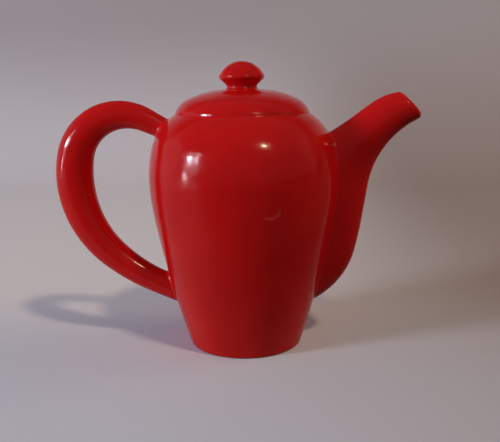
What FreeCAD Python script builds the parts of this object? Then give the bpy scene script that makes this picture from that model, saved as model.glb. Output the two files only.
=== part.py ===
"""Toy teapot, moulded in one piece: turned body with lid and knob, loop handle and spout.

Millimetres. The pot stands on Z = 0 with its axis on Z. The spout points along +X and the
handle along -X. Every size is a named value in the sheet "sizes".
"""
import FreeCAD
import Part
import Sketcher
import math
import os

V = FreeCAD.Vector

doc = FreeCAD.newDocument("toy_teapot")
sheet = doc.addObject("Spreadsheet::Sheet", "sizes")
row = 0


def size(alias, value):
    """Write one size, a plain number or a formula."""
    global row
    row += 1
    sheet.set("A%d" % row, alias)
    sheet.set("B%d" % row, str(value))
    sheet.setAlias("B%d" % row, alias)


# Driving lengths in millimetres
LENGTHS = {
    # Turned outline of the body, from the foot up
    "total_height": 40.0,
    "base_radius": 8.0,
    "flank_radius": 12.77,
    "flank_height": 19.2,
    "belly_radius": 13.2,
    "belly_height": 24.1,
    "shoulder_radius": 12.72,
    "shoulder_height": 28.2,
    # Lid shape, moulded on: a soft groove, a round edge, a low dome and a knob on a cove
    "rim_radius": 9.35,
    "rim_height": 32.87,
    "lid_radius": 7.7,
    "lid_shoulder_height": 34.85,
    "dome_height": 36.21,
    "dome_bend": 13.0,
    "knob_neck_radius": 2.1,
    "knob_cove_bend": 0.35,
    "knob_radius": 3.22,
    "knob_edge_height": 37.75,
    # Handle centre line: a side arc, a top arc and a low arc, with straight roots
    "finger_gap": 8.18,
    "handle_side_height": 24.2,
    "handle_side_bend": 15.06,
    "handle_top_bend": 7.12,
    "handle_low_bend": 24.7,
    "handle_top_bury": 3.6,
    # Handle thickness along that line
    "handle_side_thickness": 5.3,
    "handle_bow_thickness": 4.66,
    "handle_top_thickness": 3.92,
    "handle_top_end_thickness": 3.37,
    "handle_top_root_thickness": 2.65,
    "handle_low_thickness": 4.32,
    "handle_low_end_thickness": 3.62,
    "handle_low_root_thickness": 3.34,
    # Spout: its outer edge is a heel arc, a side arc, a straight, a neck arc and a short lip
    "spout_reach": 3.73,
    "spout_side_height": 19.3,
    "spout_side_bend": 71.8,
    "spout_heel_bend": 11.64,
    "spout_straight": 3.41,
    "spout_neck_bend": 12.38,
    "spout_lip_run": 1.03,
    "spout_lip_spare": 1.5,
    "lip_margin": 2.0,
    # Spout depth in the plane of the handle, and width across it
    "spout_heel_depth": 4.5,
    "spout_keel_depth": 7.0,
    "spout_side_depth": 7.5,
    "spout_crotch_depth": 8.5,
    "spout_throat_depth": 6.4,
    "spout_neck_depth": 5.5,
    "spout_lip_depth": 4.35,
    "spout_heel_width": 4.2,
    "spout_side_width": 5.2,
    "spout_lip_width": 3.9,
    "spout_wall": 0.9,
    "mouth_depth": 2.4,
    "mouth_draft": 0.25,
    # Soft edges
    "base_edge_round": 0.4,
    "groove_round": 0.4,
    "knob_edge_round": 0.45,
    "handle_root_round": 0.45,
    "spout_root_round": 0.4,
    "lip_round": 0.65,
    "mouth_round": 0.2,
}

# Driving angles in degrees: turns are 0 where the handle is outermost, leans are from level
ANGLES = {
    "handle_side_down_deg": 47.8,
    "handle_side_up_deg": 11.6,
    "handle_bow_turn_deg": 50.0,
    "handle_top_turn_deg": 116.3,
    "handle_low_turn_deg": 66.3,
    "spout_side_lean_deg": 81.0,
    "spout_heel_start_deg": 76.4,
    "spout_heel_end_deg": 24.6,
    "spout_lip_lean_deg": 27.0,
    "mouth_slant_deg": 17.6,
}

# How wide the handle is across for its thickness
RATIOS = {
    "handle_oval_ratio": 0.86,
}

# Sizes that follow from those above
WORKED = {
    # Handle arcs: middles, ends and roots
    "handle_side_x": "-(belly_radius + finger_gap + handle_side_thickness / 2)",
    "handle_side_cx": "handle_side_x + handle_side_bend",
    "handle_top_cx": "handle_side_cx - (handle_side_bend - handle_top_bend) * cos(handle_side_up_deg)",
    "handle_top_cz": "handle_side_height + (handle_side_bend - handle_top_bend) * sin(handle_side_up_deg)",
    "handle_low_cx": "handle_side_cx + (handle_low_bend - handle_side_bend) * cos(handle_side_down_deg)",
    "handle_low_cz":
        "handle_side_height + (handle_low_bend - handle_side_bend) * sin(handle_side_down_deg)",
    "handle_top_end_x": "handle_top_cx - handle_top_bend * cos(handle_top_turn_deg)",
    "handle_top_end_z": "handle_top_cz + handle_top_bend * sin(handle_top_turn_deg)",
    "handle_low_end_x": "handle_low_cx - handle_low_bend * cos(handle_low_turn_deg)",
    "handle_low_end_z": "handle_low_cz - handle_low_bend * sin(handle_low_turn_deg)",
    "handle_top_root_x": "-(shoulder_radius - handle_top_bury)",
    "handle_top_root_z":
        "handle_top_end_z + (handle_top_root_x - handle_top_end_x) / tan(handle_top_turn_deg)",
    "handle_low_root_x": "-base_radius",
    "handle_low_root_z":
        "handle_low_end_z - (handle_low_root_x - handle_low_end_x) / tan(handle_low_turn_deg)",
    # Spout arcs: middles and ends along the outer edge
    "spout_side_x": "belly_radius + spout_reach",
    "spout_side_cx": "spout_side_x - spout_side_bend * sin(spout_side_lean_deg)",
    "spout_side_cz": "spout_side_height + spout_side_bend * cos(spout_side_lean_deg)",
    "spout_heel_cx": "spout_side_cx + (spout_side_bend - spout_heel_bend) * sin(spout_heel_start_deg)",
    "spout_heel_cz": "spout_side_cz - (spout_side_bend - spout_heel_bend) * cos(spout_heel_start_deg)",
    "spout_bend_x": "spout_side_x + spout_straight * cos(spout_side_lean_deg)",
    "spout_bend_z": "spout_side_height + spout_straight * sin(spout_side_lean_deg)",
    "spout_neck_cx": "spout_bend_x + spout_neck_bend * sin(spout_side_lean_deg)",
    "spout_neck_cz": "spout_bend_z - spout_neck_bend * cos(spout_side_lean_deg)",
    "spout_neck_end_x": "spout_neck_cx - spout_neck_bend * sin(spout_lip_lean_deg)",
    "spout_neck_end_z": "spout_neck_cz + spout_neck_bend * cos(spout_lip_lean_deg)",
    "spout_lip_x": "spout_neck_end_x + spout_lip_run * cos(spout_lip_lean_deg)",
    "spout_lip_z": "spout_neck_end_z + spout_lip_run * sin(spout_lip_lean_deg)",
    "mouth_lean_deg": "spout_lip_lean_deg + mouth_slant_deg",
    "mouth_height": "spout_lip_depth / cos(mouth_slant_deg)",
    # Reach of the eight poles that draw an oval of half size 1
    "pole_reach": "6 / (4 + 2 * cos(45))",
}

for group in (LENGTHS, ANGLES, RATIOS):
    for alias, number in group.items():
        size(alias, number)
for alias, formula in WORKED.items():
    size(alias, "=" + formula)
doc.recompute()


def val(alias):
    """Read a size back as a plain number."""
    return float(sheet.get(alias))


def bind(obj, prop, formula):
    """Tie a property to the sheet."""
    obj.setExpression(prop, formula)


def plane_of(body, role):
    """Find one of the origin planes of a body."""
    for item in body.Origin.OriginFeatures:
        if item.Role == role:
            return item
    raise ValueError(role)


body = doc.addObject("PartDesign::Body", "teapot")
body.Label = "teapot"
body.Placement = FreeCAD.Placement(V(0, 0, 0), FreeCAD.Rotation())

# Turned solid
outline = body.newObject("Sketcher::SketchObject", "turned_outline")
outline.AttachmentSupport = (plane_of(body, "YZ_Plane"), "")
outline.MapMode = "FlatFace"


def heading_to(start, end):
    """Direction of travel from one point to another, in radians."""
    return math.atan2(end[1] - start[1], end[0] - start[0])


def move(point, heading, distance):
    """Point some distance away in a direction."""
    return (point[0] + distance * math.cos(heading), point[1] + distance * math.sin(heading))


def arc_from(start, heading, turn, radius, first=0.0, last=0.0):
    """Arc that leaves a point in a direction and turns; first and last are lengths cut off its ends."""
    side = math.copysign(math.pi / 2, turn)
    centre = move(start, heading + side, radius)
    begin = heading - side + math.copysign(first / radius, turn)
    finish = heading - side + turn - math.copysign(last / radius, turn)
    spots = [move(centre, angle, radius) for angle in (begin, (begin + finish) / 2, finish)]
    return Part.Arc(*[V(spot[0], spot[1], 0) for spot in spots])


def turn_radius(start, end, turn):
    """Radius of the arc between two points that turns by so much."""
    return math.hypot(end[0] - start[0], end[1] - start[1]) / (2 * math.sin(abs(turn) / 2))


def round_over(corner, arriving, leaving, radius):
    """Small arc that rounds a corner, and the length that it takes off each side."""
    turn = leaving - arriving
    cut = radius * math.tan(abs(turn) / 2)
    return arc_from(move(corner, arriving, -cut), arriving, turn, radius), cut


def line(start, end):
    """Straight piece of the outline."""
    return Part.LineSegment(V(start[0], start[1], 0), V(end[0], end[1], 0))


base = (val("base_radius"), 0.0)
flank = (val("flank_radius"), val("flank_height"))
belly = (val("belly_radius"), val("belly_height"))
shoulder = (val("shoulder_radius"), val("shoulder_height"))
rim = (val("rim_radius"), val("rim_height"))
lid = (val("lid_radius"), val("lid_shoulder_height"))
knob = (val("knob_radius"), val("knob_edge_height"))
top = (0.0, val("total_height"))
foot = (0.0, 0.0)

# Headings where the arcs meet, so that each starts out close to its solved place
upright = math.pi / 2
at_flank = 2 * heading_to(flank, belly) - upright
at_base = 2 * heading_to(base, flank) - at_flank
at_shoulder = 2 * heading_to(belly, shoulder) - upright
at_rim = 2 * heading_to(shoulder, rim) - at_shoulder
dome_middle = val("dome_height") - val("dome_bend")
at_lid = math.asin((lid[1] - dome_middle) / val("dome_bend")) + upright
off_rim = 2 * heading_to(rim, lid) - at_lid
cove = (val("knob_neck_radius") + val("knob_cove_bend"), val("dome_height") + val("knob_cove_bend"))
to_knob = heading_to(cove, knob)
reach = math.hypot(knob[0] - cove[0], knob[1] - cove[1])
at_flare = to_knob - math.asin(val("knob_cove_bend") / reach)
at_top = math.pi
off_knob = 2 * heading_to(knob, top) - at_top

base_edge, base_cut = round_over(base, 0.0, at_base, val("base_edge_round"))
groove, groove_cut = round_over(rim, at_rim, off_rim, val("groove_round"))
knob_edge, knob_cut = round_over(knob, at_flare, off_knob, val("knob_edge_round"))
flare_start = move(cove, at_flare + upright, val("knob_cove_bend"))

pieces = [
    arc_from(base, at_base, at_flank - at_base, turn_radius(base, flank, at_flank - at_base), base_cut),
    arc_from(flank, at_flank, upright - at_flank, turn_radius(flank, belly, upright - at_flank)),
    arc_from(belly, upright, at_shoulder - upright, turn_radius(belly, shoulder, at_shoulder - upright)),
    arc_from(shoulder, at_shoulder, at_rim - at_shoulder,
             turn_radius(shoulder, rim, at_rim - at_shoulder), 0.0, groove_cut),
    groove,
    arc_from(rim, off_rim, at_lid - off_rim, turn_radius(rim, lid, at_lid - off_rim), groove_cut),
    arc_from(lid, at_lid, at_top - at_lid, val("dome_bend")),
    arc_from((cove[0], val("dome_height")), at_top, at_flare - at_top, val("knob_cove_bend")),
    line(flare_start, move(knob, at_flare, -knob_cut)),
    knob_edge,
    arc_from(knob, off_knob, at_top - off_knob, turn_radius(knob, top, at_top - off_knob), knob_cut),
    line(top, foot),
    line(foot, (base[0] - base_cut, 0.0)),
    base_edge,
]
BASE, FLANK, BELLY, SHOULDER, GROOVE, LID, DOME, COVE, FLARE, EDGE, KNOB, AXIS, FOOT, HEM = range(14)
for piece in pieces:
    outline.addGeometry(piece, False)


def rule(kind, *where):
    """Add one constraint to the outline."""
    return outline.addConstraint(Sketcher.Constraint(kind, *where))


def end_of(piece, other):
    """Pick the end of a piece that lies on the next one."""
    near = None
    for side in (1, 2):
        for other_side in (1, 2):
            gap = (outline.getPoint(piece, side) - outline.getPoint(other, other_side)).Length
            if near is None or gap < near[0]:
                near = (gap, side, other_side)
    return near[1], near[2]


def dimension(kind, piece, side, name, formula, number):
    """Add a dimension from the origin, bound to the sheet."""
    index = outline.addConstraint(Sketcher.Constraint(kind, -1, 1, piece, side, number))
    outline.renameConstraint(index, name)
    dims.append((name, formula))


def bend(piece, name):
    """Fix the radius of an arc by the size of that name."""
    index = outline.addConstraint(Sketcher.Constraint("Radius", piece, val(name)))
    outline.renameConstraint(index, name)
    dims.append((name, "sizes." + name))


def corner(piece, other, place):
    """Construction point where two pieces would meet if their corner weren't rounded."""
    point = outline.addGeometry(Part.Point(V(place[0], place[1], 0)), True)
    rule("PointOnObject", point, 1, piece)
    rule("PointOnObject", point, 1, other)
    return point


dims = []
sharp = {(KNOB, AXIS), (AXIS, FOOT)}
joints = {}
for piece in range(len(pieces)):
    other = (piece + 1) % len(pieces)
    side, other_side = end_of(piece, other)
    joints[piece] = side
    rule("Coincident" if (piece, other) in sharp else "Tangent", piece, side, other, other_side)

# The belly is widest where its two arcs meet, and the knob's top is level
rule("Horizontal", BELLY, 3, BELLY, 3 - joints[BELLY])
rule("Vertical", KNOB, 3, KNOB, joints[KNOB])
rule("PointOnObject", KNOB, joints[KNOB], -2)
rule("Coincident", AXIS, joints[AXIS], -1, 1)
rule("Horizontal", FOOT)

rim_corner = corner(SHOULDER, LID, rim)
knob_corner = corner(FLARE, KNOB, knob)
base_corner = corner(FOOT, BASE, base)
for piece, side, across, up in (
    (BASE, joints[BASE], "flank_radius", "flank_height"),
    (FLANK, joints[FLANK], "belly_radius", "belly_height"),
    (BELLY, joints[BELLY], "shoulder_radius", "shoulder_height"),
    (rim_corner, 1, "rim_radius", "rim_height"),
    (LID, joints[LID], "lid_radius", "lid_shoulder_height"),
    (knob_corner, 1, "knob_radius", "knob_edge_height"),
):
    dimension("DistanceX", piece, side, across, "sizes." + across, val(across))
    dimension("DistanceY", piece, side, up, "sizes." + up, val(up))
dimension("DistanceX", base_corner, 1, "base_radius", "sizes.base_radius", base[0])
dimension("DistanceY", KNOB, joints[KNOB], "total_height", "sizes.total_height", top[1])
dimension("DistanceY", DOME, 3, "dome_middle", "sizes.dome_height - sizes.dome_bend", dome_middle)
dimension("DistanceX", COVE, 3, "cove_middle", "sizes.knob_neck_radius + sizes.knob_cove_bend", cove[0])
for piece, name in (
    (DOME, "dome_bend"),
    (COVE, "knob_cove_bend"),
    (GROOVE, "groove_round"),
    (EDGE, "knob_edge_round"),
    (HEM, "base_edge_round"),
):
    bend(piece, name)
for name, formula in dims:
    bind(outline, "Constraints." + name, formula)

turned = body.newObject("PartDesign::Revolution", "turned_body")
turned.Profile = outline
turned.ReferenceAxis = (outline, ["V_Axis"])
turned.Angle = 360.0
outline.Visibility = False
doc.recompute()


def soften(name, label, edges, formula):
    """Round the given edges of the body's tip."""
    base = body.Tip
    if not edges:
        raise ValueError("no edges for " + label)
    fillet = body.newObject("PartDesign::Fillet", name)
    fillet.Label = label
    fillet.Base = (base, ["Edge%d" % (index + 1) for index in edges])
    bind(fillet, "Radius", formula)
    doc.recompute()
    return fillet


def fix(sketch, name, formula, kind, *where):
    """Add a named dimension tied to the sheet."""
    index = sketch.addConstraint(Sketcher.Constraint(kind, *where))
    sketch.renameConstraint(index, name)
    bind(sketch, "Constraints." + name, formula)


def section(name, x, z, tilt, deep, wide):
    """Oval section standing across the plane of the handle, drawn as a smooth closed spline."""
    sketch = body.newObject("Sketcher::SketchObject", name)
    sketch.AttachmentSupport = (plane_of(body, "XY_Plane"), "")
    sketch.MapMode = "FlatFace"
    sketch.AttachmentOffset = FreeCAD.Placement(V(0, 0, 0), FreeCAD.Rotation(V(0, 1, 0), 10))
    bind(sketch, "AttachmentOffset.Base.x", x)
    bind(sketch, "AttachmentOffset.Base.z", z)
    bind(sketch, "AttachmentOffset.Rotation.Angle", tilt)
    half_deep, half_wide = 2.5, 2.0
    poles = []
    for number in range(8):
        angle = math.pi * number / 4
        poles.append(V(half_deep * math.cos(angle), half_wide * math.sin(angle), 0))
    oval = Part.BSplineCurve()
    oval.buildFromPolesMultsKnots(poles, [1] * 9, list(range(9)), True, 3)
    sketch.addGeometry(oval, False)
    sketch.exposeInternalGeometry(0)
    sketch.addConstraint(Sketcher.Constraint("PointOnObject", 1, 3, -1))
    sketch.addConstraint(Sketcher.Constraint("PointOnObject", 3, 3, -2))
    for number in range(1, 5):
        sketch.addConstraint(Sketcher.Constraint("Symmetric", number, 3, number + 4, 3, -1, 1))
    sketch.addConstraint(Sketcher.Constraint("Symmetric", 2, 3, 4, 3, -2))
    slant = math.cos(math.pi / 4)
    fix(sketch, "deep", "(%s) / 2 * sizes.pole_reach" % deep, "DistanceX", -1, 1, 1, 3, half_deep)
    fix(sketch, "wide", "(%s) / 2 * sizes.pole_reach" % wide, "DistanceY", -1, 1, 3, 3, half_wide)
    fix(sketch, "deep_side", "(%s) / 2 * sizes.pole_reach * cos(45)" % deep, "DistanceX",
        -1, 1, 2, 3, half_deep * slant)
    fix(sketch, "wide_side", "(%s) / 2 * sizes.pole_reach * cos(45)" % wide, "DistanceY",
        -1, 1, 2, 3, half_wide * slant)
    sketch.Visibility = False
    return sketch


def skin_of(feature):
    """Skin of the shape that a feature adds or takes away, in the body's own place."""
    shape = feature.AddSubShape.copy()
    shape.Placement = feature.Placement.multiply(shape.Placement)
    return shape.Shells[0]


def seams(first, second):
    """Edges of the tip that lie on the skins of both shapes."""
    found = []
    for index, edge in enumerate(body.Tip.Shape.Edges):
        start, end = edge.ParameterRange
        spots = [Part.Vertex(edge.valueAt(start + (end - start) * share)) for share in (0.2, 0.5, 0.8)]
        if all(skin.distToShape(spot)[0] < 0.01 for skin in (first, second) for spot in spots):
            found.append(index)
    return found


def path_sketch(name, pieces):
    """Sketch of a guide line in the plane of the handle, its pieces joined smoothly."""
    sketch = body.newObject("Sketcher::SketchObject", name)
    sketch.AttachmentSupport = (plane_of(body, "XZ_Plane"), "")
    sketch.MapMode = "FlatFace"
    for piece in pieces:
        sketch.addGeometry(piece, False)
    for number in range(len(pieces) - 1):
        ends = []
        for side in (1, 2):
            for other in (1, 2):
                gap = (sketch.getPoint(number, side) - sketch.getPoint(number + 1, other)).Length
                ends.append((gap, side, other))
        gap, side, other = min(ends)
        sketch.addConstraint(Sketcher.Constraint("Tangent", number, side, number + 1, other))
    sketch.Visibility = False
    return sketch


def far_end(sketch, number, neighbour):
    """End of a piece that lies away from its neighbour."""
    best = None
    for side in (1, 2):
        here = sketch.getPoint(number, side)
        gap = min((here - sketch.getPoint(neighbour, other)).Length for other in (1, 2))
        if best is None or gap > best[0]:
            best = (gap, side)
    return best[1]


def turn_point(cx, cz, radius, turn):
    """Point on a handle arc at a turn in degrees."""
    angle = math.radians(turn)
    return V(cx - radius * math.cos(angle), cz + radius * math.sin(angle), 0)


def turn_arc(cx, cz, radius, first, last):
    """Handle arc between two turns."""
    mid = (first + last) / 2
    return Part.Arc(turn_point(cx, cz, radius, first), turn_point(cx, cz, radius, mid),
                    turn_point(cx, cz, radius, last))


# Handle: oval sections along a centre line of a straight, four arcs and a straight
side_arc = (val("handle_side_cx"), val("handle_side_height"), val("handle_side_bend"))
top_arc = (val("handle_top_cx"), val("handle_top_cz"), val("handle_top_bend"))
low_arc = (val("handle_low_cx"), val("handle_low_cz"), val("handle_low_bend"))
low_root = V(val("handle_low_root_x"), val("handle_low_root_z"), 0)
top_root = V(val("handle_top_root_x"), val("handle_top_root_z"), 0)
handle_path = path_sketch("handle_line", [
    Part.LineSegment(low_root, turn_point(*low_arc, -val("handle_low_turn_deg"))),
    turn_arc(*low_arc, -val("handle_low_turn_deg"), -val("handle_side_down_deg")),
    turn_arc(*side_arc, -val("handle_side_down_deg"), 0),
    turn_arc(*side_arc, 0, val("handle_side_up_deg")),
    turn_arc(*top_arc, val("handle_side_up_deg"), val("handle_top_turn_deg")),
    Part.LineSegment(turn_point(*top_arc, val("handle_top_turn_deg")), top_root),
])
outermost = far_end(handle_path, 2, 1)
fix(handle_path, "reach", "-sizes.handle_side_x", "DistanceX", 2, outermost, -1, 1,
    -val("handle_side_x"))
fix(handle_path, "side_height", "sizes.handle_side_height", "DistanceY", -1, 1, 2, outermost,
    val("handle_side_height"))
handle_path.addConstraint(Sketcher.Constraint("Horizontal", 2, 3, 2, outermost))
for name, number, formula in (
    ("low_bend", 1, "sizes.handle_low_bend"),
    ("side_bend", 2, "sizes.handle_side_bend"),
    ("upper_side_bend", 3, "sizes.handle_side_bend"),
    ("top_bend", 4, "sizes.handle_top_bend"),
):
    fix(handle_path, name, formula, "Radius", number, handle_path.Geometry[number].Radius)
for name, number, formula in (
    ("low_span", 1, "sizes.handle_low_turn_deg - sizes.handle_side_down_deg"),
    ("down_span", 2, "sizes.handle_side_down_deg"),
    ("up_span", 3, "sizes.handle_side_up_deg"),
    ("top_span", 4, "sizes.handle_top_turn_deg - sizes.handle_side_up_deg"),
):
    arc = handle_path.Geometry[number]
    fix(handle_path, name, formula, "Angle", number, abs(arc.LastParameter - arc.FirstParameter))
for name, number, neighbour in (("low_root", 0, 1), ("top_root", 5, 4)):
    root_end = far_end(handle_path, number, neighbour)
    fix(handle_path, name, "-sizes.handle_%s_x" % name, "DistanceX", number, root_end, -1, 1,
        -val("handle_%s_x" % name))


def handle_station(arc, turn):
    """Place of a handle section at a turn on one of the arcs."""
    height = "handle_side_height" if arc == "handle_side" else arc + "_cz"
    return ("sizes.%s_cx - sizes.%s_bend * cos(%s)" % (arc, arc, turn),
            "sizes.%s + sizes.%s_bend * sin(%s)" % (height, arc, turn), turn)


handle_stations = [
    (("sizes.handle_low_root_x", "sizes.handle_low_root_z", "-sizes.handle_low_turn_deg"), "low_root"),
    (handle_station("handle_low", "-sizes.handle_low_turn_deg"), "low_end"),
    (handle_station("handle_side", "-sizes.handle_side_down_deg"), "low"),
    (handle_station("handle_side", "0"), "side"),
    (handle_station("handle_top", "sizes.handle_bow_turn_deg"), "bow"),
    (handle_station("handle_top", "90"), "top"),
    (handle_station("handle_top", "sizes.handle_top_turn_deg"), "top_end"),
    (("sizes.handle_top_root_x", "sizes.handle_top_root_z", "sizes.handle_top_turn_deg"), "top_root"),
]
handle_sections = []
for (x, z, tilt), name in handle_stations:
    thickness = "sizes.handle_%s_thickness" % name
    handle_sections.append(section("handle_" + name, x, z, tilt, thickness,
                                   thickness + " * sizes.handle_oval_ratio"))
doc.recompute()
plain_skin = body.Tip.Shape.Shells[0]
handle = body.newObject("PartDesign::AdditivePipe", "handle")
handle.Profile = handle_sections[0]
handle.Spine = (handle_path, [])
handle.Sections = handle_sections[1:]
handle.Mode = "Standard"
handle.Transformation = "Multisection"
doc.recompute()
soften("handle_roots", "handle roots", seams(plain_skin, skin_of(handle)),
       "sizes.handle_root_round")


# Spout: oval sections whose outer ends follow the outer edge
def lean_point(cx, cz, radius, lean, inside):
    """Point on a spout arc where the edge has a given lean; inside tells where the centre lies."""
    angle = math.radians(lean)
    return V(cx + inside * radius * math.sin(angle), cz - inside * radius * math.cos(angle), 0)


def lean_arc(cx, cz, radius, first, last, inside):
    """Spout arc between two leans."""
    return Part.Arc(lean_point(cx, cz, radius, first, inside),
                    lean_point(cx, cz, radius, (first + last) / 2, inside),
                    lean_point(cx, cz, radius, last, inside))


heel = (val("spout_heel_cx"), val("spout_heel_cz"), val("spout_heel_bend"))
side = (val("spout_side_cx"), val("spout_side_cz"), val("spout_side_bend"))
neck = (val("spout_neck_cx"), val("spout_neck_cz"), val("spout_neck_bend"))
side_point = V(val("spout_side_x"), val("spout_side_height"), 0)
bend_point = V(val("spout_bend_x"), val("spout_bend_z"), 0)
lip_point = V(val("spout_lip_x"), val("spout_lip_z"), 0)
spout_path = path_sketch("spout_line", [
    lean_arc(*heel, val("spout_heel_end_deg"), val("spout_heel_start_deg"), 1),
    lean_arc(*side, val("spout_heel_start_deg"), val("spout_side_lean_deg"), 1),
    Part.LineSegment(side_point, bend_point),
    lean_arc(*neck, val("spout_side_lean_deg"), val("spout_lip_lean_deg"), -1),
    Part.LineSegment(lean_point(*neck, val("spout_lip_lean_deg"), -1), lip_point),
])
foot_of_straight = 3 - far_end(spout_path, 2, 1)
fix(spout_path, "side_reach", "sizes.spout_side_x", "DistanceX", -1, 1, 2, foot_of_straight,
    side_point.x)
fix(spout_path, "side_height", "sizes.spout_side_height", "DistanceY", -1, 1, 2, foot_of_straight,
    side_point.y)
fix(spout_path, "side_lean", "sizes.spout_side_lean_deg", "Angle", 2,
    math.radians(val("spout_side_lean_deg")))
fix(spout_path, "straight", "sizes.spout_straight", "Distance", 2, val("spout_straight"))
fix(spout_path, "lip_run", "sizes.spout_lip_run + sizes.spout_lip_spare", "Distance", 4,
    val("spout_lip_run") + val("spout_lip_spare"))
for name, number in (("heel_bend", 0), ("side_bend", 1), ("neck_bend", 3)):
    fix(spout_path, name, "sizes.spout_" + name, "Radius", number, spout_path.Geometry[number].Radius)
for name, number, formula in (
    ("heel_span", 0, "sizes.spout_heel_start_deg - sizes.spout_heel_end_deg"),
    ("side_span", 1, "sizes.spout_side_lean_deg - sizes.spout_heel_start_deg"),
    ("neck_span", 3, "sizes.spout_side_lean_deg - sizes.spout_lip_lean_deg"),
):
    arc = spout_path.Geometry[number]
    fix(spout_path, name, formula, "Angle", number, abs(arc.LastParameter - arc.FirstParameter))


def spout_section(name, x, z, lean, depth, wide):
    """Section across the spout with its outer end at a point of the outer edge."""
    return section("spout_" + name,
                   "%s - (%s) / 2 * sin(%s)" % (x, depth, lean),
                   "%s + (%s) / 2 * cos(%s)" % (z, depth, lean),
                   "90 - (%s)" % lean, depth, wide)


def edge_place(arc, lean, inside):
    """Point of the outer edge where it has a given lean."""
    sign, other = ("+", "-") if inside else ("-", "+")
    return ("sizes.spout_%s_cx %s sizes.spout_%s_bend * sin(%s)" % (arc, sign, arc, lean),
            "sizes.spout_%s_cz %s sizes.spout_%s_bend * cos(%s)" % (arc, other, arc, lean), lean)


def blend(first, last, share):
    """Formula for a value part of the way from one size to another."""
    return "(sizes.%s * %s + sizes.%s * %s)" % (first, round(1 - share, 3), last, share)


heel_middle = blend("spout_heel_end_deg", "spout_heel_start_deg", 0.5)
spout_sections = [
    spout_section("heel", *edge_place("heel", "sizes.spout_heel_end_deg", True),
                  "sizes.spout_heel_depth", "sizes.spout_heel_width"),
    spout_section("keel", *edge_place("heel", heel_middle, True),
                  "sizes.spout_keel_depth", blend("spout_heel_width", "spout_side_width", 0.5)),
    spout_section("flank", *edge_place("side", "sizes.spout_heel_start_deg", True),
                  "sizes.spout_side_depth", "sizes.spout_side_width"),
    spout_section("side", *edge_place("side", "sizes.spout_side_lean_deg", True),
                  "sizes.spout_side_depth", "sizes.spout_side_width"),
]
neck_names = ("crotch", "throat", "neck", "lip")
for number, name in enumerate(neck_names, 1):
    share = number / len(neck_names)
    lean = blend("spout_side_lean_deg", "spout_lip_lean_deg", share)
    spout_sections.append(spout_section(name, *edge_place("neck", lean, False),
                                        "sizes.spout_%s_depth" % name,
                                        blend("spout_side_width", "spout_lip_width", share)))
spare = "(sizes.spout_lip_run + sizes.spout_lip_spare)"
x, z, lean = edge_place("neck", "sizes.spout_lip_lean_deg", False)
spout_sections.append(spout_section("end", x + " + %s * cos(%s)" % (spare, lean),
                                    z + " + %s * sin(%s)" % (spare, lean), lean,
                                    "sizes.spout_lip_depth", "sizes.spout_lip_width"))
doc.recompute()
spout = body.newObject("PartDesign::AdditivePipe", "spout")
spout.Profile = spout_sections[0]
spout.Spine = (spout_path, [])
spout.Sections = spout_sections[1:]
spout.Mode = "Standard"
spout.Transformation = "Multisection"
doc.recompute()
soften("spout_roots", "spout roots", seams(plain_skin, skin_of(spout)),
       "sizes.spout_root_round")

# Mouth: the end of the spout is cut on a slant, then sunk a little way in
cut = body.newObject("Sketcher::SketchObject", "mouth_cut_outline")
cut.AttachmentSupport = (plane_of(body, "XZ_Plane"), "")
cut.MapMode = "FlatFace"
along = math.radians(90 + val("mouth_lean_deg"))
out = math.radians(val("mouth_lean_deg"))
margin = val("lip_margin")
start = lip_point - V(math.cos(along), math.sin(along), 0) * margin
tall = val("mouth_height") + 2 * margin
reach = val("spout_lip_spare") + val("spout_lip_depth")
corners = [start, start + V(math.cos(along), math.sin(along), 0) * tall]
corners.append(corners[1] + V(math.cos(out), math.sin(out), 0) * reach)
corners.append(corners[0] + V(math.cos(out), math.sin(out), 0) * reach)
for number in range(4):
    cut.addGeometry(Part.LineSegment(corners[number], corners[(number + 1) % 4]), False)
for number in range(4):
    cut.addConstraint(Sketcher.Constraint("Coincident", number, 2, (number + 1) % 4, 1))
cut.addConstraint(Sketcher.Constraint("Perpendicular", 0, 1))
cut.addConstraint(Sketcher.Constraint("Parallel", 0, 2))
cut.addConstraint(Sketcher.Constraint("Parallel", 1, 3))
fix(cut, "lip_x", "sizes.spout_lip_x + sizes.lip_margin * sin(sizes.mouth_lean_deg)", "DistanceX",
    -1, 1, 0, 1, start.x)
fix(cut, "lip_z", "sizes.spout_lip_z - sizes.lip_margin * cos(sizes.mouth_lean_deg)", "DistanceY",
    -1, 1, 0, 1, start.y)
fix(cut, "slant", "90 + sizes.mouth_lean_deg", "Angle", 0, along)
fix(cut, "tall", "sizes.mouth_height + 2 * sizes.lip_margin", "Distance", 0, tall)
fix(cut, "reach", "sizes.spout_lip_spare + sizes.spout_lip_depth", "Distance", 1, reach)
cut.Visibility = False
doc.recompute()
mouth_cut = body.newObject("PartDesign::Pocket", "mouth_cut")
mouth_cut.Profile = cut
mouth_cut.Type = "ThroughAll"
mouth_cut.Midplane = True
doc.recompute()
face_point = V(lip_point.x, 0, lip_point.y)
face_out = V(math.cos(out), 0, math.sin(out))


def on_mouth_face(shape):
    """True where the shape lies flat in the plane of the mouth."""
    spots = [vertex.Point for vertex in shape.Vertexes] + [shape.CenterOfMass]
    return all(abs((spot - face_point).dot(face_out)) < 0.01 for spot in spots)


lip_edges = [index for index, edge in enumerate(body.Tip.Shape.Edges) if on_mouth_face(edge)]
soften("mouth_lip", "mouth lip", lip_edges, "sizes.lip_round")

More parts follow.
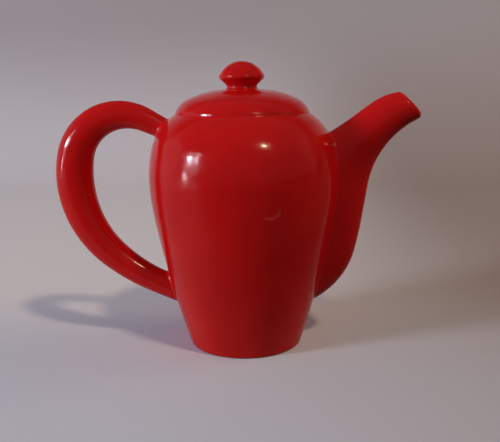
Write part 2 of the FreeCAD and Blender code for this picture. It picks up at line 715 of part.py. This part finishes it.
half_mouth = "sizes.mouth_height / 2"
mouth_x = "sizes.spout_lip_x - %s * sin(sizes.mouth_lean_deg)" % half_mouth
mouth_z = "sizes.spout_lip_z + %s * cos(sizes.mouth_lean_deg)" % half_mouth
mouth_deep = "sizes.mouth_height - 2 * sizes.spout_wall"
mouth_wide = "sizes.spout_lip_width - 2 * sizes.spout_wall"
mouth_tilt = "90 - sizes.mouth_lean_deg"
mouth_sections = [
    section("mouth_rim", mouth_x, mouth_z, mouth_tilt, mouth_deep, mouth_wide),
    section("mouth_floor",
            mouth_x + " - sizes.mouth_depth * cos(sizes.spout_lip_lean_deg)",
            mouth_z + " - sizes.mouth_depth * sin(sizes.spout_lip_lean_deg)",
            mouth_tilt,
            mouth_deep + " - 2 * sizes.mouth_draft",
            mouth_wide + " - 2 * sizes.mouth_draft"),
]
doc.recompute()
mouth = body.newObject("PartDesign::SubtractiveLoft", "mouth")
mouth.Profile = mouth_sections[0]
mouth.Sections = mouth_sections[1:]
doc.recompute()
mouth_skin = skin_of(mouth)
tip_edges = body.Tip.Shape.Edges
rim_edges = [index for index in seams(mouth_skin, mouth_skin) if on_mouth_face(tip_edges[index])]
soften("mouth_edge", "mouth edge", rim_edges, "sizes.mouth_round")

for item in doc.Objects:
    if "Invalid" in item.State or "Error" in item.State:
        raise ValueError("%s did not build: %s" % (item.Name, item.State))
if body.Shape.isNull() or not body.Shape.isValid() or len(body.Shape.Solids) != 1:
    raise ValueError("the pot is not one sound solid")

os.makedirs("parts", exist_ok=True)
body.Shape.exportStep("parts/teapot.step")
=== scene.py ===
"""Looks of the toy teapot: one glossy red plastic moulding on a pale floor."""
import bpy
import math
from mathutils import Matrix, Vector

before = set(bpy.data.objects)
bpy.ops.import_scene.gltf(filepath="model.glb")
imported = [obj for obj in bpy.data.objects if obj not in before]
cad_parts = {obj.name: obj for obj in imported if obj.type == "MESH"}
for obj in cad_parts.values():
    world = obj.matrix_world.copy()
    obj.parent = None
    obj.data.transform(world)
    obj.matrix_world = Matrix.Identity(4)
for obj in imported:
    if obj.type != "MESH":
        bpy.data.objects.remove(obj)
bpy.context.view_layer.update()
scene = bpy.context.scene

# Plastic: its colours (linear), how it mirrors, the range of its roughness, and how much duller the
# rub mark is
RED = (0.60, 0.0060, 0.0060)
RED_DEEP = (0.53, 0.0040, 0.0045)
SCUFF = (0.62, 0.036, 0.038)
PLASTIC_IOR = 1.5
MIRRORING = 0.28
ROUGHNESS = (0.10, 0.18)
RUB_DULL = 0.3

# Noises in the plastic: scale per metre, detail and roughness, and the span of each that is used
DRIFT = (110.0, 4.0, 0.6)
DRIFT_SPAN = (0.3, 0.7)
HAZE = (420.0, 4.0, 0.65)
HAZE_SPAN = (0.35, 0.7)
SPECKS = (1500.0, 2.0, 0.6)
SPECKS_SPAN = (0.38, 0.62)
SWELL = (480.0, 1.0, 0.5)
PEEL = (1500.0, 2.0, 0.5)

# Bumps in the gloss: strength, and depth in metres
EDGE_BUMP = (1.0, 0.00007)
SWELL_BUMP = (0.25, 0.00006)
PEEL_BUMP = (0.5, 0.00002)

# Rub mark on the belly: an arc about one point, kept within reach of another, metres, and the
# shares between which its specks vary it
RUB_CENTRE = (0.00395, -0.01232, 0.02167)
RUB_RADIUS = 0.00122
RUB_WIDTH = 0.00045
RUB_MIDDLE = (0.00436, -0.01218, 0.02064)
RUB_REACH = 0.00165
RUB_SHARES = (0.55, 1.0)

# The lid's edge stands a little steeper just above the groove: the heights over which the step
# rises and falls off, and the distances from the middle of the lid over which it ends, metres
EDGE_LOW = 0.03295
EDGE_HIGH = 0.03335
EDGE_END = 0.03470
LID_MIDDLE = (0.0, 0.0, 0.0338)
LID_SPAN = (0.0112, 0.0119)

# Paper as the camera sees it (linear colours), with light and shade painted in: the front tone turns
# to a lighter back tone as it runs back, a painted pool of the window's light; at the right a
# painted shade turns to a brown painted shadow of the pot, and both turn to a darker top tone as
# they rise, painted shade higher up. The spans of these changes, metres; the last one starts below
# the floor, so the floor has some of the top tone too
PAPER_FRONT = (0.67, 0.73, 0.91)
PAPER_BACK_WINDOW_LIT = (0.86, 0.845, 0.93)
PAPER_RIGHT_SHADE = (0.49, 0.45, 0.505)
PAPER_BROWN_SHADOW = (0.38, 0.295, 0.29)
PAPER_TOP_SHADE = (0.45, 0.415, 0.455)
BACK_SPAN = (-0.020, 0.030)
RIGHT_SPAN = (-0.020, 0.060)
TOP_SPAN = (-0.030, 0.075)

# Close to the window the paper is painted darker, a painted shade that holds its tone against the
# window's light there: the window's direction from the pot (azimuth, degrees) and the distances over
# which it turns, metres
PAPER_GLARE_SHADE = (0.27, 0.26, 0.28)
GLARE_AZIMUTH = -63
GLARE_SPAN = (0.08, 0.26)

# Paper as it lights the pot and shows in its gloss: in shade to the right and in front, and faded
# high up. The shade's direction from the pot (azimuth, degrees), the distances over which it comes
# and the heights over which it fades, metres
PAPER_LIT = (0.62, 0.575, 0.635)
PAPER_DIM = (0.09, 0.12, 0.12)
DIM_AZIMUTH = 40
DIM_SPAN = (-0.010, 0.024)
HIGH_SPAN = (0.08, 0.40)
PAPER_ROUGHNESS = 0.9

# Sweep of the paper: its ends, half width and height, and the round bend up into the backdrop,
# metres
SWEEP_FRONT = -0.45
SWEEP_BACK = 0.30
SWEEP_HALF = 1.6
SWEEP_TALL = 0.60
SWEEP_BEND = 0.16
BEND_STEPS = 16

# Lights: the point that they face and how far from it they stand, metres, and their colours
FACED = (0, 0, 0.022)
NEAR = 0.55
MIDWAY = 0.60
FAR = 0.65
COOL = (0.86, 0.90, 1.0)
WARM = (1.0, 0.79, 0.52)
ROOM = (0.90, 0.92, 1.0)
ROOM_STRENGTH = 0.15

# Camera fitted to the photograph, in the pot's own frame: its place and the span that it sees,
# metres, its directions, its focal length in pixels of a picture this wide, and its sensor, mm
CAMERA_PLACE = (0.00506, -0.09650, 0.03772)
CAMERA_RIGHT = (0.99906, 0.04056, -0.01555)
CAMERA_AHEAD = (-0.04288, 0.97815, -0.20345)
CAMERA_SPAN = (0.005, 10.0)
FOCAL_LENGTH = 689.8
PICTURE_WIDTH = 500
SENSOR_WIDTH = 36.0


def node(tree, kind, place, **inputs):
    """Add a shader node at a place in the node editor and set its plain inputs."""
    made = tree.nodes.new(kind)
    made.location = place
    for name, value in inputs.items():
        made.inputs[name.replace("_", " ")].default_value = value
    return made


def remap(tree, place, source, low, high, to_low=0.0, to_high=1.0):
    """Ease a value from one range into another."""
    made = node(tree, "ShaderNodeMapRange", place)
    made.interpolation_type = "SMOOTHSTEP"
    for name, value in (("From Min", low), ("From Max", high), ("To Min", to_low), ("To Max", to_high)):
        made.inputs[name].default_value = value
    tree.links.new(source, made.inputs["Value"])
    return made.outputs["Result"]


def combine(tree, place, operation, first, second):
    """Work out one value from two, each a socket or a plain number."""
    made = node(tree, "ShaderNodeMath", place)
    made.operation = operation
    for slot, value in enumerate((first, second)):
        if isinstance(value, (int, float)):
            made.inputs[slot].default_value = value
        else:
            tree.links.new(value, made.inputs[slot])
    return made.outputs["Value"]


def measure(tree, place, coords, operation, other):
    """Work out one value from the coordinates and a fixed vector."""
    made = node(tree, "ShaderNodeVectorMath", place)
    made.operation = operation
    made.inputs[1].default_value = other
    tree.links.new(coords, made.inputs[0])
    return made.outputs["Value"]


def tint(tree, place, share, first, second):
    """Mix two colours, each a socket or a plain colour."""
    made = node(tree, "ShaderNodeMix", place)
    made.data_type = "RGBA"
    for name, value in (("A", first), ("B", second)):
        if isinstance(value, tuple):
            made.inputs[name].default_value = (*value, 1)
        else:
            tree.links.new(value, made.inputs[name])
    tree.links.new(share, made.inputs["Factor"])
    return made.outputs["Result"]


def noise(tree, place, coords, scale, detail, roughness):
    """Noise over the object's own coordinates."""
    made = node(tree, "ShaderNodeTexNoise", place, Scale=scale, Detail=detail, Roughness=roughness)
    tree.links.new(coords, made.inputs["Vector"])
    return made.outputs["Fac"]


def bump(tree, place, height, strength, depth):
    """Add a bump by a height."""
    made = node(tree, "ShaderNodeBump", place, Strength=strength, Distance=depth)
    tree.links.new(height, made.inputs["Height"])
    return made


def heading(azimuth, elevation):
    """Direction from the pot: azimuth 0 is towards the camera and 90 to the right, in degrees."""
    az = math.radians(azimuth)
    el = math.radians(elevation)
    return Vector((math.sin(az) * math.cos(el), -math.cos(az) * math.cos(el), math.sin(el)))


def rub_mark(tree, coords):
    """Share of the pale rub mark at each place, a little uneven as a real one is."""
    off_centre = measure(tree, (-1000, 700), coords, "DISTANCE", RUB_CENTRE)
    apart = combine(tree, (-925, 700), "SUBTRACT", off_centre, RUB_RADIUS)
    off_arc = combine(tree, (-850, 700), "ABSOLUTE", apart, 0)
    arc = remap(tree, (-700, 700), off_arc, 0.0, RUB_WIDTH, 1.0, 0.0)
    off_middle = measure(tree, (-850, 900), coords, "DISTANCE", RUB_MIDDLE)
    near = remap(tree, (-700, 900), off_middle, 0.5 * RUB_REACH, RUB_REACH, 1.0, 0.0)
    specks = noise(tree, (-850, 1100), coords, *SPECKS)
    worn = remap(tree, (-700, 1100), specks, *SPECKS_SPAN, *RUB_SHARES)
    whole = combine(tree, (-550, 800), "MULTIPLY", arc, near)
    return combine(tree, (-400, 800), "MULTIPLY", whole, worn)


def lid_edge(tree, coords):
    """Height of the step at the lid's edge, as a share of its full height."""
    place = node(tree, "ShaderNodeSeparateXYZ", (-1100, -650))
    tree.links.new(coords, place.inputs["Vector"])
    rise = remap(tree, (-900, -600), place.outputs["Z"], EDGE_LOW, EDGE_HIGH)
    fall = remap(tree, (-900, -800), place.outputs["Z"], EDGE_HIGH, EDGE_END, 1.0, 0.0)
    off_lid = measure(tree, (-1100, -900), coords, "DISTANCE", LID_MIDDLE)
    lid = remap(tree, (-900, -1000), off_lid, *LID_SPAN, 1.0, 0.0)
    slope = combine(tree, (-750, -650), "MULTIPLY", rise, fall)
    return combine(tree, (-600, -650), "MULTIPLY", slope, lid)


def plastic():
    """Glossy red plastic: faint colour drift, soft orange peel, hazy patches and a rub mark."""
    mat = bpy.data.materials.new("red_gloss_plastic")
    mat.use_nodes = True
    tree = mat.node_tree
    link = tree.links.new
    bsdf = tree.nodes["Principled BSDF"]
    bsdf.inputs["IOR"].default_value = PLASTIC_IOR
    bsdf.inputs["Specular IOR Level"].default_value = MIRRORING
    coords = node(tree, "ShaderNodeTexCoord", (-1300, 0)).outputs["Object"]

    rub = rub_mark(tree, coords)
    drift = remap(tree, (-700, 250), noise(tree, (-950, 250), coords, *DRIFT), *DRIFT_SPAN)
    plain = tint(tree, (-450, 250), drift, RED_DEEP, RED)
    link(tint(tree, (-250, 250), rub, plain, SCUFF), bsdf.inputs["Base Color"])

    haze = remap(tree, (-700, 0), noise(tree, (-950, 0), coords, *HAZE), *HAZE_SPAN, *ROUGHNESS)
    dull = combine(tree, (-450, 0), "MULTIPLY", rub, RUB_DULL)
    link(combine(tree, (-250, 0), "ADD", haze, dull), bsdf.inputs["Roughness"])

    steep = bump(tree, (-450, -650), lid_edge(tree, coords), *EDGE_BUMP)
    swell = bump(tree, (-500, -250), noise(tree, (-950, -250), coords, *SWELL), *SWELL_BUMP)
    peel = bump(tree, (-250, -350), noise(tree, (-950, -450), coords, *PEEL), *PEEL_BUMP)
    link(steep.outputs["Normal"], swell.inputs["Normal"])
    link(swell.outputs["Normal"], peel.inputs["Normal"])
    link(peel.outputs["Normal"], bsdf.inputs["Normal"])
    return mat


def paper():
    """Matt pale paper, with one tone for the camera, with light and shade painted in, and another for
    the light that it returns, painted darker where it is in shade.
    """
    mat = bpy.data.materials.new("pale_paper")
    mat.use_nodes = True
    tree = mat.node_tree
    bsdf = tree.nodes["Principled BSDF"]
    bsdf.inputs["Roughness"].default_value = PAPER_ROUGHNESS
    bsdf.inputs["Specular IOR Level"].default_value = 0.0
    coords = node(tree, "ShaderNodeTexCoord", (-1000, 0)).outputs["Object"]
    place = node(tree, "ShaderNodeSeparateXYZ", (-800, -200))
    tree.links.new(coords, place.inputs["Vector"])

    shaded = measure(tree, (-800, 0), coords, "DOT_PRODUCT", heading(DIM_AZIMUTH, 0))
    near = remap(tree, (-600, 0), shaded, *DIM_SPAN)
    high = remap(tree, (-600, -200), place.outputs["Z"], *HIGH_SPAN)
    shade = combine(tree, (-500, -100), "MAXIMUM", near, high)
    lit = tint(tree, (-350, -100), shade, PAPER_LIT, PAPER_DIM)

    # Light and shade painted on the paper: lighter as it runs back, painted shade and a brown painted
    # shadow at the right, darker as it rises
    rear = remap(tree, (-600, -800), place.outputs["Y"], *BACK_SPAN)
    left = tint(tree, (-450, -500), rear, PAPER_FRONT, PAPER_BACK_WINDOW_LIT)
    warm = tint(tree, (-450, -700), rear, PAPER_RIGHT_SHADE, PAPER_BROWN_SHADOW)
    right = remap(tree, (-600, -400), place.outputs["X"], *RIGHT_SPAN)
    level = tint(tree, (-350, -400), right, left, warm)
    top = remap(tree, (-600, -600), place.outputs["Z"], *TOP_SPAN)
    upright = tint(tree, (-250, -300), top, level, PAPER_TOP_SHADE)
    # Painted shade: the paper darker towards the window, against its light
    bright = measure(tree, (-800, -1000), coords, "DOT_PRODUCT", heading(GLARE_AZIMUTH, 0))
    glare = remap(tree, (-600, -1000), bright, *GLARE_SPAN)
    seen = tint(tree, (-150, -400), glare, upright, PAPER_GLARE_SHADE)

    path = node(tree, "ShaderNodeLightPath", (-800, 300))
    shown = tint(tree, (-200, 100), path.outputs["Is Camera Ray"], lit, seen)
    tree.links.new(shown, bsdf.inputs["Base Color"])
    return mat


def sweep():
    """Pale floor that curves up into a backdrop well behind the pot."""
    start = SWEEP_BACK - SWEEP_BEND
    line = [(SWEEP_FRONT, 0.0), (start, 0.0)]
    for step in range(1, BEND_STEPS + 1):
        turn = math.pi / 2 * step / BEND_STEPS
        line.append((start + SWEEP_BEND * math.sin(turn), SWEEP_BEND - SWEEP_BEND * math.cos(turn)))
    line.append((SWEEP_BACK, SWEEP_TALL))
    verts = [(x, y, z) for y, z in line for x in (-SWEEP_HALF, SWEEP_HALF)]
    faces = [(2 * i, 2 * i + 1, 2 * i + 3, 2 * i + 2) for i in range(len(line) - 1)]
    mesh = bpy.data.meshes.new("floor")
    mesh.from_pydata(verts, [], faces)
    for face in mesh.polygons:
        face.use_smooth = True
    floor = bpy.data.objects.new("floor", mesh)
    scene.collection.objects.link(floor)
    floor.data.materials.append(paper())


def area(name, azimuth, elevation, wide, tall, power, colour, gloss=True, spread=True, distance=MIDWAY):
    """Light that faces the pot: with gloss it shows in the gloss, with spread it lights the surfaces."""
    lamp = bpy.data.lights.new(name, "AREA")
    lamp.shape = "ELLIPSE"
    lamp.size = wide
    lamp.size_y = tall
    lamp.energy = power
    lamp.color = colour
    obj = bpy.data.objects.new(name, lamp)
    centre = Vector(FACED)
    obj.location = centre + distance * heading(azimuth, elevation)
    obj.rotation_euler = (centre - obj.location).to_track_quat("-Z", "Y").to_euler()
    obj.visible_glossy = gloss
    obj.visible_diffuse = spread
    scene.collection.objects.link(obj)


def room():
    """Dim even light from all around."""
    world = bpy.data.worlds.new("room")
    scene.world = world
    world.use_nodes = True
    background = world.node_tree.nodes["Background"]
    background.inputs["Color"].default_value = (*ROOM, 1)
    background.inputs["Strength"].default_value = ROOM_STRENGTH


def photo_camera():
    """Camera that sees the pot as the photograph does."""
    cam = bpy.data.cameras.new("camera")
    cam.sensor_width = SENSOR_WIDTH
    cam.lens = FOCAL_LENGTH / PICTURE_WIDTH * SENSOR_WIDTH
    cam.clip_start, cam.clip_end = CAMERA_SPAN
    camera = bpy.data.objects.new("camera", cam)
    ahead = Vector(CAMERA_AHEAD).normalized()
    up = Vector(CAMERA_RIGHT).normalized().cross(ahead).normalized()
    right = ahead.cross(up).normalized()
    turn = Matrix((right, up, -ahead)).transposed().to_4x4()
    camera.matrix_world = Matrix.Translation(CAMERA_PLACE) @ turn
    scene.collection.objects.link(camera)
    scene.camera = camera


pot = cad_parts["teapot"]
pot.data.materials.clear()
pot.data.materials.append(plastic())

sweep()

# Window at the left with brighter panes, a small warm lamp at the right, and soft fill: azimuth and
# elevation in degrees, width and height in metres, power in watts
area("window", -61, 13, 0.20, 0.25, 0.32, COOL)
area("pane_high", -64.6, 15.0, 0.036, 0.044, 1.40, COOL, spread=False, distance=NEAR)
area("pane_side", -54.8, 13.6, 0.030, 0.038, 0.16, COOL, spread=False, distance=NEAR)
area("pane_top", -53, 20.5, 0.040, 0.018, 0.08, COOL, spread=False, distance=NEAR)
area("pane_low", -69.4, 0.6, 0.034, 0.055, 0.18, COOL, spread=False, distance=NEAR)
area("window_spread", -63.5, 14, 0.12, 0.12, 1.80, COOL, gloss=False)
area("veil", -100, 12, 0.40, 0.40, 0.09, COOL)
area("veil_wide", -104, 12, 0.68, 0.60, 0.15, COOL, distance=FAR)
area("lamp", 34, 40.2, 0.016, 0.016, 0.75, WARM, spread=False, distance=NEAR)
area("lamp_spread", 36, 55, 0.06, 0.06, 1.00, WARM, gloss=False)
area("bounce", 100, 20, 0.40, 0.40, 0.85, WARM, gloss=False)

room()
photo_camera()
scene.view_settings.view_transform = "Standard"
